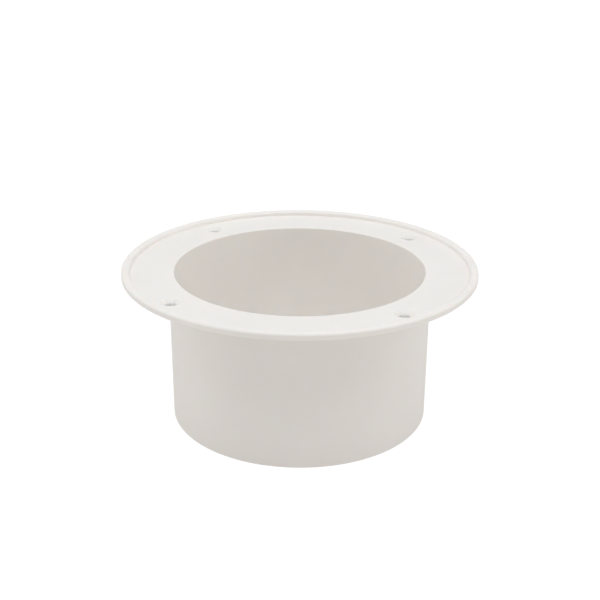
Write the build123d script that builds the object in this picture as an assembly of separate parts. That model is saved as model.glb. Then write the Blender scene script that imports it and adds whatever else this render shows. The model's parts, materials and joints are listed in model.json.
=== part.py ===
from build123d import *
import os

# A round duct collar with a screw-down flange, and the foam gasket bonded under the flange.
# The collar stands on its free end at z = 0, with its axis on Z and the flange at the top.
# All sizes are in millimetres.

# Driving dimensions of the collar; the flange's face is at the top of its bore
COLLAR_OD = 100.0
WALL = 2.2
FACE_Z = 58.5

# Driving dimensions of the flange and of the raised lip round its edge
FLANGE_OD = 135.0
PLATE_THICKNESS = 1.8
LIP_WIDTH = 3.2
LIP_HEIGHT = 2.0

# The underside rises towards the rim, which leaves a thin outer edge
RIM_TAPER_WIDTH = 3.5
RIM_TAPER_HEIGHT = 1.4

# Screw holes: a countersunk 4 mm wood screw each, on one circle
SCREW_COUNT = 4
SCREW_CIRCLE_D = 115.5
SCREW_START_ANGLE = 45.0
SCREW_HOLE_D = 4.5
COUNTERSINK_D = 7.2
COUNTERSINK_ANGLE = 90.0

# Edge roundings of the moulding
BORE_EDGE_R = 0.4
COLLAR_END_R = 0.4
ROOT_R = 1.0
TAPER_FOOT_R = 1.0
RIM_BOTTOM_R = 0.25
LIP_OUTER_R = 1.0
LIP_INNER_R = 1.2
LIP_FOOT_R = 0.7
COUNTERSINK_EDGE_R = 0.25

# Gasket: a flat ring that clears the root rounding and the screws
GASKET_THICKNESS = 1.0
GASKET_ID = 103.0
GASKET_OD = 123.0
GASKET_HOLE_D = 5.0

# Heights and radii that follow from them
COLLAR_R = COLLAR_OD / 2
BORE_R = COLLAR_R - WALL
FLANGE_R = FLANGE_OD / 2
LIP_INNER_RADIUS = FLANGE_R - LIP_WIDTH
LIP_TOP_Z = FACE_Z + LIP_HEIGHT
UNDERSIDE_Z = FACE_Z - PLATE_THICKNESS


def screw_places(height):
    """The points of the screw circle at one height."""
    circle = PolarLocations(SCREW_CIRCLE_D / 2, SCREW_COUNT, start_angle=SCREW_START_ANGLE)
    return [Location((0, 0, height)) * place for place in circle]


def collar_section():
    """Half section of the moulding, with each corner's rounding."""
    corners = [
        ((BORE_R, 0), COLLAR_END_R),
        ((COLLAR_R, 0), COLLAR_END_R),
        ((COLLAR_R, UNDERSIDE_Z), ROOT_R),
        ((FLANGE_R - RIM_TAPER_WIDTH, UNDERSIDE_Z), TAPER_FOOT_R),
        ((FLANGE_R, UNDERSIDE_Z + RIM_TAPER_HEIGHT), RIM_BOTTOM_R),
        ((FLANGE_R, LIP_TOP_Z), LIP_OUTER_R),
        ((LIP_INNER_RADIUS, LIP_TOP_Z), LIP_INNER_R),
        ((LIP_INNER_RADIUS, FACE_Z), LIP_FOOT_R),
        ((BORE_R, FACE_Z), BORE_EDGE_R),
    ]
    points = [point for point, radius in corners]
    radii = [radius for point, radius in corners]
    with BuildSketch(Plane.XZ) as section:
        with BuildLine():
            FilletPolyline(*points, radius=radii, close=True)
        make_face()
    return section.sketch


def countersink_edges(moulding):
    """The round edges where the countersinks meet the flange's face."""
    circles = moulding.edges().filter_by(GeomType.CIRCLE)
    return circles.filter_by(lambda edge: abs(edge.radius - COUNTERSINK_D / 2) < 0.01)


def flanged_collar():
    """The moulding: collar, flange, lip and countersunk holes in one piece."""
    with BuildPart() as moulding:
        add(collar_section())
        revolve(axis=Axis.Z)
        with Locations(*screw_places(FACE_Z)):
            CounterSinkHole(
                radius=SCREW_HOLE_D / 2,
                counter_sink_radius=COUNTERSINK_D / 2,
                depth=2 * PLATE_THICKNESS,
                counter_sink_angle=COUNTERSINK_ANGLE,
            )
        fillet(countersink_edges(moulding), COUNTERSINK_EDGE_R)
    return moulding.part


def flange_gasket():
    """The foam ring under the flange, with a clearance hole for each screw."""
    with BuildPart() as ring:
        with BuildSketch(Plane.XY.offset(UNDERSIDE_Z - GASKET_THICKNESS)):
            Circle(GASKET_OD / 2)
            Circle(GASKET_ID / 2, mode=Mode.SUBTRACT)
            with Locations(*screw_places(0)):
                Circle(GASKET_HOLE_D / 2, mode=Mode.SUBTRACT)
        extrude(amount=GASKET_THICKNESS)
    return ring.part


NODES = {
    "flanged_collar": flanged_collar,
    "flange_gasket": flange_gasket,
}

os.makedirs("parts", exist_ok=True)
for name, make in NODES.items():
    export_step(make(), f"parts/{name}.step")
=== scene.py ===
import json
import math

import bmesh
import bpy
from mathutils import Matrix, Vector


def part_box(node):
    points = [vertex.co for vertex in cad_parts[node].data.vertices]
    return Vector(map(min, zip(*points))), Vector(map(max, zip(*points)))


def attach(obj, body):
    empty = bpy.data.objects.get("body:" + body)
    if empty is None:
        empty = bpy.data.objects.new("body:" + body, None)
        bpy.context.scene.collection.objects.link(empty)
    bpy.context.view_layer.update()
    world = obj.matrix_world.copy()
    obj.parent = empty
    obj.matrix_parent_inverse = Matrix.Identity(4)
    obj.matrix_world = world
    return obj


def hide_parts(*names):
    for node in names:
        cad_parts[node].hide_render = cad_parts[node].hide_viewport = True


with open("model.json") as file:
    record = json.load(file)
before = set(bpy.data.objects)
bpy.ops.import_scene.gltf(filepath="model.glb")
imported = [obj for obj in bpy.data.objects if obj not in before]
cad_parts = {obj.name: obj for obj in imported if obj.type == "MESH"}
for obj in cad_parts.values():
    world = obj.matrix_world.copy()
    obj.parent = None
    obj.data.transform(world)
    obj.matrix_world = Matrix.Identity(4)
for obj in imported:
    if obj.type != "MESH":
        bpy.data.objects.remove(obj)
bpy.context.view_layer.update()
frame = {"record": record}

MM = 0.001

# Sizes read from the frame, in metres
MOUNTS = {mount["name"]: mount for mount in frame["record"]["mounts"]}
COLLAR_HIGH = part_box("flanged_collar")[1]
GASKET_LOW, GASKET_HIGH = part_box("flange_gasket")
FLANGE_R = COLLAR_HIGH.x
LIP_TOP_Z = COLLAR_HIGH.z
UNDERSIDE_Z = MOUNTS["screw_holes"]["pos_m"][2]
COLLAR_R = MOUNTS["duct_spigot"]["dims"]["r_mm"] * MM
BORE_R = MOUNTS["duct_bore"]["dims"]["r_mm"] * MM
SCREW_CIRCLE_R = MOUNTS["screw_holes"]["dims"]["pcd_mm"] / 2 * MM
SCREW_HOLE_R = MOUNTS["screw_holes"]["dims"]["hole_r_mm"] * MM
SCREW_COUNT = MOUNTS["screw_holes"]["dims"]["count"]

# The rest of the moulding's section
FACE_Z = 58.5 * MM
LIP_INNER_R = FLANGE_R - 3.2 * MM
RIM_TAPER_WIDTH = 3.5 * MM
RIM_TAPER_HEIGHT = 1.4 * MM
COUNTERSINK_R = 3.6 * MM
COUNTERSINK_SLOPE = math.radians(45)
COUNTERSINK_DEPTH = (COUNTERSINK_R - SCREW_HOLE_R) / math.tan(COUNTERSINK_SLOPE)
SCREW_START_ANGLE = math.radians(45)
BORE_EDGE = 0.4 * MM
COLLAR_END_EDGE = 0.4 * MM
ROOT = 1.0 * MM
TAPER_FOOT = 1.0 * MM
RIM_BOTTOM = 0.25 * MM
LIP_OUTER = 1.0 * MM
LIP_INNER = 1.2 * MM
LIP_FOOT = 0.7 * MM
COUNTERSINK_EDGE = 0.25 * MM

# The gasket's section
GASKET_INNER_R = 51.5 * MM
GASKET_OUTER_R = GASKET_HIGH.x
GASKET_HOLE_R = 2.5 * MM
GASKET_EDGE = 0.35 * MM

# Off-white plastic: its two tints, its gloss, and how much light spreads inside it, and how far, by colour
PLASTIC_DARK = (0.872, 0.840, 0.798)
PLASTIC_LIGHT = (0.892, 0.860, 0.818)
PLASTIC_ROUGHNESS = (0.40, 0.50)
PLASTIC_IOR = 1.5
PLASTIC_BLEED_SHARE = 0.35
PLASTIC_BLEED = (1.6, 1.3, 1.0)
PLASTIC_BLEED_UNIT = 1.0 * MM

# Its surface, in waves a metre: tint, gloss, long wave and fine grain, and the heights of the last two
TINT_WAVES = 40
GLOSS_WAVES = 160
LONG_WAVES = 55
LONG_HEIGHT = 0.03 * MM
GRAIN_WAVES = 2600
GRAIN_HEIGHT = 0.012 * MM

# White foam: its own tint and a darker tint painted into the cells' pits as shade, its dull surface, and its
# cells and uneven skin with their heights
FOAM_PIT_SHADE = (0.76, 0.75, 0.73)
FOAM_LIGHT = (0.86, 0.85, 0.83)
FOAM_ROUGHNESS = 0.95
FOAM_SPECULAR = 0.2
CELL_WAVES = 1900
CELL_HEIGHT = 0.12 * MM
SKIN_WAVES = 300
SKIN_HEIGHT = 0.08 * MM

# Where a colour ramp starts and ends on its noise
RAMP_START = 0.3
RAMP_END = 0.7

# Fineness of the meshes
TURN_STEPS = 288
HOLE_STEPS = 64
CORNER_STEPS = 6
SUPPORT = 0.5 * MM
LONG_RUN = 4 * SUPPORT
SHARP_ANGLE = math.radians(40)
WELD = 0.0005 * MM
DRILL_SPARE = 2.0 * MM

# The studio: a pale table that lights the object from below and glows a little, a pure white floor
# that only the camera sees, a soft room, and softboxes above and on each side
FLOOR_SIZE = 8.0
FLOOR_GLOW = 1.05
TABLE_PAINT = (0.46, 0.455, 0.45)
TABLE_MOTTLE = 1.02
TABLE_WAVES = 3
TABLE_ROUGHNESS = 0.9
TABLE_GLOW = 0.36
TABLE_DROP = 0.01 * MM
ROOM_STRENGTH = 0.52
ROOM_TINT = (1.0, 0.985, 0.965)
OVERHEAD_TINT = (0.95, 1.0, 1.085)
OVERHEAD_PLACE = (0, -0.15, 1.08)
OVERHEAD_SIZE = 1.0
OVERHEAD_WATTS = 6.0
SIDE_REACH = 0.9
SIDE_BACK = 0.15
SIDE_HEIGHT = 0.35
SIDE_SIZE = 0.6
SIDE_WATTS = 1.2

# The camera stands in front of the collar and above the flange, and looks down at it
CAMERA_DISTANCE = 375.5 * MM
CAMERA_HEIGHT = FACE_Z + 139.4 * MM
CAMERA_SIDE = math.radians(6.6)
CAMERA_PITCH = math.radians(22.17)
CAMERA_YAW = math.radians(-0.02)
CAMERA_ROLL = math.radians(0.29)
CAMERA_LENS = 62.8


# --- Outlines and meshes --------------------------------------------------------------------------

def rounded(corners):
    """A closed outline with each corner turned into an arc of its own radius."""
    points = []
    count = len(corners)
    for index, (here, radius) in enumerate(corners):
        here = Vector(here)
        before = (Vector(corners[index - 1][0]) - here).normalized()
        after = (Vector(corners[(index + 1) % count][0]) - here).normalized()
        if radius == 0:
            points.append(here)
            continue
        half = before.angle(after) / 2
        centre = here + (before + after).normalized() * radius / math.sin(half)
        start = here + before * radius / math.tan(half) - centre
        end = here + after * radius / math.tan(half) - centre
        for step in range(CORNER_STEPS + 1):
            points.append(centre + start.slerp(end, step / CORNER_STEPS) * radius)
    return points


def supported(outline):
    """The outline with two more points on each long run, close to its ends, so that flat faces stay flat."""
    points = []
    for index, here in enumerate(outline):
        points.append(here)
        run = outline[(index + 1) % len(outline)] - here
        if run.length > LONG_RUN:
            points.append(here + run.normalized() * SUPPORT)
            points.append(here + run - run.normalized() * SUPPORT)
    return points


def spun(name, outline, steps):
    """A closed ring: the outline, as (radius, height) points, turned about Z."""
    mesh = bpy.data.meshes.new(name)
    verts = []
    for step in range(steps):
        angle = 2 * math.pi * step / steps
        verts += [(point[0] * math.cos(angle), point[0] * math.sin(angle), point[1]) for point in outline]
    size = len(outline)
    faces = []
    for step in range(steps):
        near, far = step * size, (step + 1) % steps * size
        for index in range(size):
            after = (index + 1) % size
            faces.append((near + index, far + index, far + after, near + after))
    mesh.from_pydata(verts, [], faces)
    return mesh


def stacked(name, rings, steps, place):
    """A closed solid of circles, as (radius, height) from the bottom up, capped and put in place."""
    mesh = bpy.data.meshes.new(name)
    verts = []
    for radius, height in rings:
        for step in range(steps):
            angle = 2 * math.pi * step / steps
            verts.append(place @ Vector((radius * math.cos(angle), radius * math.sin(angle), height)))
    faces = [tuple(reversed(range(steps)))]
    for level in range(len(rings) - 1):
        low, high = level * steps, (level + 1) * steps
        for step in range(steps):
            after = (step + 1) % steps
            faces.append((low + step, low + after, high + after, high + step))
    faces.append(tuple(range(high, high + steps)))
    mesh.from_pydata(verts, [], faces)
    return mesh


def linked(name, mesh):
    """A new object for the mesh, in the scene."""
    piece = bpy.data.objects.new(name, mesh)
    bpy.context.scene.collection.objects.link(piece)
    return piece


def screw_places():
    """One matrix for each screw hole, at the foot of the row's Z axis."""
    for index in range(SCREW_COUNT):
        turn = Matrix.Rotation(SCREW_START_ANGLE + 2 * math.pi * index / SCREW_COUNT, 4, "Z")
        yield turn @ Matrix.Translation((SCREW_CIRCLE_R, 0, 0))


def drilled(piece, rings):
    """Cuts the same hole at each screw place and keeps the result as the piece's own mesh."""
    for place in screw_places():
        drill = linked("drill", stacked("drill", rings, HOLE_STEPS, place))
        cut = piece.modifiers.new("cut", "BOOLEAN")
        cut.operation = "DIFFERENCE"
        cut.solver = "EXACT"
        cut.object = drill
        whole = bpy.data.meshes.new_from_object(piece.evaluated_get(bpy.context.evaluated_depsgraph_get()))
        piece.modifiers.clear()
        piece.data = whole
        bpy.data.objects.remove(drill)
    return piece


def polished(piece):
    """Welds the mesh, turns its faces outwards and shades it smooth, with flat faces kept flat."""
    shape = bmesh.new()
    shape.from_mesh(piece.data)
    bmesh.ops.remove_doubles(shape, verts=shape.verts, dist=WELD)
    bmesh.ops.dissolve_degenerate(shape, edges=shape.edges, dist=WELD)
    bmesh.ops.recalc_face_normals(shape, faces=shape.faces)
    shape.to_mesh(piece.data)
    shape.free()
    piece.data.shade_smooth()
    piece.data.set_sharp_from_angle(angle=SHARP_ANGLE)
    normals = piece.modifiers.new("flat faces", "WEIGHTED_NORMAL")
    normals.keep_sharp = True
    return piece


# --- Materials ------------------------------------------------------------------------------------

def material(name):
    """A new node material, with its nodes, links and shader."""
    made = bpy.data.materials.new(name)
    made.use_nodes = True
    nodes, links = made.node_tree.nodes, made.node_tree.links
    return made, nodes, links, nodes["Principled BSDF"]


def noise(nodes, links, scale, detail):
    """Noise over the piece's own coordinates, scale in waves a metre."""
    place = nodes.new("ShaderNodeTexCoord")
    texture = nodes.new("ShaderNodeTexNoise")
    texture.inputs["Scale"].default_value = scale
    texture.inputs["Detail"].default_value = detail
    links.new(place.outputs["Object"], texture.inputs["Vector"])
    return texture.outputs["Fac"]


def ramp(nodes, links, source, low, high):
    """A colour ramp between two colours."""
    made = nodes.new("ShaderNodeValToRGB")
    made.color_ramp.elements[0].color = (*low, 1)
    made.color_ramp.elements[1].color = (*high, 1)
    made.color_ramp.elements[0].position = RAMP_START
    made.color_ramp.elements[1].position = RAMP_END
    links.new(source, made.inputs["Fac"])
    return made.outputs["Color"]


def spread(nodes, links, source, low, high):
    """The source, from 0 to 1, spread between two numbers."""
    made = nodes.new("ShaderNodeMapRange")
    made.inputs["To Min"].default_value = low
    made.inputs["To Max"].default_value = high
    links.new(source, made.inputs["Value"])
    return made.outputs["Result"]


def bump(nodes, links, source, distance, under=None):
    """A bump of the source's height, on top of another bump."""
    made = nodes.new("ShaderNodeBump")
    made.inputs["Distance"].default_value = distance
    links.new(source, made.inputs["Height"])
    if under:
        links.new(under, made.inputs["Normal"])
    return made.outputs["Normal"]


def moulded_plastic():
    """Off-white moulded plastic: satin, with a fine spark-eroded grain and a faint long wave."""
    made, nodes, links, shader = material("moulded_plastic_look")
    tint = noise(nodes, links, TINT_WAVES, 3)
    links.new(ramp(nodes, links, tint, PLASTIC_DARK, PLASTIC_LIGHT), shader.inputs["Base Color"])
    grain = noise(nodes, links, GRAIN_WAVES, 4)
    gloss = noise(nodes, links, GLOSS_WAVES, 4)
    links.new(spread(nodes, links, gloss, *PLASTIC_ROUGHNESS), shader.inputs["Roughness"])
    wave = bump(nodes, links, noise(nodes, links, LONG_WAVES, 2), LONG_HEIGHT)
    links.new(bump(nodes, links, grain, GRAIN_HEIGHT, wave), shader.inputs["Normal"])
    shader.inputs["IOR"].default_value = PLASTIC_IOR
    shader.inputs["Subsurface Weight"].default_value = PLASTIC_BLEED_SHARE
    shader.inputs["Subsurface Radius"].default_value = PLASTIC_BLEED
    shader.inputs["Subsurface Scale"].default_value = PLASTIC_BLEED_UNIT
    return made


def gasket_foam():
    """White closed-cell foam: small round cells, matt, with painted shade darkening the cells' pits."""
    made, nodes, links, shader = material("gasket_foam_look")
    place = nodes.new("ShaderNodeTexCoord")
    cells = nodes.new("ShaderNodeTexVoronoi")
    cells.inputs["Scale"].default_value = CELL_WAVES
    links.new(place.outputs["Object"], cells.inputs["Vector"])
    cell = cells.outputs["Distance"]
    # The darker tint follows the cells' depth, so it is painted shade in the pits, not the foam's own colour
    links.new(ramp(nodes, links, cell, FOAM_PIT_SHADE, FOAM_LIGHT), shader.inputs["Base Color"])
    shader.inputs["Roughness"].default_value = FOAM_ROUGHNESS
    shader.inputs["Specular IOR Level"].default_value = FOAM_SPECULAR
    skin = bump(nodes, links, noise(nodes, links, SKIN_WAVES, 3), SKIN_HEIGHT)
    links.new(bump(nodes, links, cell, CELL_HEIGHT, skin), shader.inputs["Normal"])
    return made


def table_paint():
    """The table's pale matt paint."""
    made, nodes, links, shader = material("table_paint")
    lighter = [TABLE_MOTTLE * part for part in TABLE_PAINT]
    mottle = noise(nodes, links, TABLE_WAVES, 2)
    links.new(ramp(nodes, links, mottle, TABLE_PAINT, lighter), shader.inputs["Base Color"])
    shader.inputs["Roughness"].default_value = TABLE_ROUGHNESS
    shader.inputs["Emission Color"].default_value = (1, 1, 1, 1)
    shader.inputs["Emission Strength"].default_value = TABLE_GLOW
    return made


def white_floor():
    """A floor as white as an evenly lit studio sweep."""
    made, nodes, links, shader = material("white_floor")
    shader.inputs["Base Color"].default_value = (0, 0, 0, 1)
    shader.inputs["Specular IOR Level"].default_value = 0
    shader.inputs["Emission Color"].default_value = (1, 1, 1, 1)
    shader.inputs["Emission Strength"].default_value = FLOOR_GLOW
    return made


# --- Pieces ---------------------------------------------------------------------------------------

def collar_outline():
    """The moulding's half section, from the collar's free end round to its bore."""
    return supported(rounded([
        ((BORE_R, 0), COLLAR_END_EDGE),
        ((COLLAR_R, 0), COLLAR_END_EDGE),
        ((COLLAR_R, UNDERSIDE_Z), ROOT),
        ((FLANGE_R - RIM_TAPER_WIDTH, UNDERSIDE_Z), TAPER_FOOT),
        ((FLANGE_R, UNDERSIDE_Z + RIM_TAPER_HEIGHT), RIM_BOTTOM),
        ((FLANGE_R, LIP_TOP_Z), LIP_OUTER),
        ((LIP_INNER_R, LIP_TOP_Z), LIP_INNER),
        ((LIP_INNER_R, FACE_Z), LIP_FOOT),
        ((BORE_R, FACE_Z), BORE_EDGE),
    ]))


def countersink_rings():
    """The screw hole's cutter: straight hole, cone, and the cone's rounded edge at the flange's face."""
    rings = [(SCREW_HOLE_R, UNDERSIDE_Z - DRILL_SPARE), (SCREW_HOLE_R, FACE_Z - COUNTERSINK_DEPTH)]
    mouth = COUNTERSINK_R + COUNTERSINK_EDGE * math.tan(COUNTERSINK_SLOPE / 2)
    for step in range(CORNER_STEPS + 1):
        turn = COUNTERSINK_SLOPE * (1 - step / CORNER_STEPS)
        rings.append((
            mouth - COUNTERSINK_EDGE * math.sin(turn),
            FACE_Z - COUNTERSINK_EDGE * (1 - math.cos(turn)),
        ))
    rings.append((mouth, FACE_Z + DRILL_SPARE))
    return rings


def collar_moulding():
    """The collar, flange and lip, with the four countersunk holes."""
    piece = linked("collar_moulding", spun("collar_moulding", collar_outline(), TURN_STEPS))
    drilled(piece, countersink_rings())
    polished(piece).data.materials.clear()
    piece.data.materials.append(moulded_plastic())
    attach(piece, "root")
    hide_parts("flanged_collar")
    return piece


def foam_gasket():
    """The foam ring under the flange, with its die-cut edges a little rounded."""
    piece = linked("foam_gasket", spun("foam_gasket", supported(rounded([
        ((GASKET_INNER_R, GASKET_LOW.z), GASKET_EDGE),
        ((GASKET_OUTER_R, GASKET_LOW.z), GASKET_EDGE),
        ((GASKET_OUTER_R, UNDERSIDE_Z), 0),
        ((GASKET_INNER_R, UNDERSIDE_Z), 0),
    ])), TURN_STEPS))
    drilled(piece, [(GASKET_HOLE_R, GASKET_LOW.z - DRILL_SPARE), (GASKET_HOLE_R, UNDERSIDE_Z + DRILL_SPARE)])
    polished(piece).data.materials.clear()
    piece.data.materials.append(gasket_foam())
    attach(piece, "root")
    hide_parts("flange_gasket")
    return piece


# --- Stage ----------------------------------------------------------------------------------------

def stage_plane(name, height, look):
    """A square part of the stage, level with the table."""
    mesh = bpy.data.meshes.new(name)
    half = FLOOR_SIZE / 2
    corners = [(-half, -half, height), (half, -half, height), (half, half, height), (-half, half, height)]
    mesh.from_pydata(corners, [], [(0, 1, 2, 3)])
    mesh.materials.append(look)
    plane = linked(name, mesh)
    return plane


def stage_floor():
    """The table, which lights the object unseen, and the white floor, which is seen but lights nothing."""
    stage_plane("table", -TABLE_DROP, table_paint()).visible_camera = False
    seen = stage_plane("floor", 0, white_floor())
    seen.visible_diffuse = False
    seen.visible_glossy = False
    seen.visible_transmission = False
    seen.visible_shadow = False


def softbox(name, place, size, watts, tint=(1, 1, 1)):
    """A square area light that looks at the middle of the flange."""
    light = bpy.data.lights.new(name, "AREA")
    light.size = size
    light.energy = watts
    light.color = tint
    lamp = linked(name, light)
    lamp.location = place
    lamp.rotation_euler = (Vector((0, 0, FACE_Z)) - Vector(place)).to_track_quat("-Z", "Y").to_euler()


def studio_light():
    """A soft, slightly warm room, a wide softbox overhead and an equal one on each side."""
    world = bpy.data.worlds.new("room")
    world.use_nodes = True
    room = world.node_tree.nodes["Background"]
    room.inputs["Color"].default_value = (*ROOM_TINT, 1)
    room.inputs["Strength"].default_value = ROOM_STRENGTH
    bpy.context.scene.world = world
    softbox("overhead", OVERHEAD_PLACE, OVERHEAD_SIZE, OVERHEAD_WATTS, OVERHEAD_TINT)
    softbox("left", (-SIDE_REACH, SIDE_BACK, SIDE_HEIGHT), SIDE_SIZE, SIDE_WATTS)
    softbox("right", (SIDE_REACH, SIDE_BACK, SIDE_HEIGHT), SIDE_SIZE, SIDE_WATTS)


def camera():
    """The camera, turned about the collar's axis by CAMERA_SIDE from straight in front."""
    lens = bpy.data.cameras.new("camera")
    lens.lens = CAMERA_LENS
    view = linked("camera", lens)
    stand = Matrix.Rotation(CAMERA_SIDE, 4, "Z") @ Matrix.Translation((0, -CAMERA_DISTANCE, CAMERA_HEIGHT))
    aim = Matrix.Rotation(CAMERA_YAW, 4, "Z") @ Matrix.Rotation(math.radians(90) - CAMERA_PITCH, 4, "X")
    view.matrix_world = stand @ aim @ Matrix.Rotation(CAMERA_ROLL, 4, "Z")
    bpy.context.scene.camera = view


camera()
studio_light()
stage_floor()
collar_moulding()
foam_gasket()
bpy.context.scene.view_settings.view_transform = "Standard"
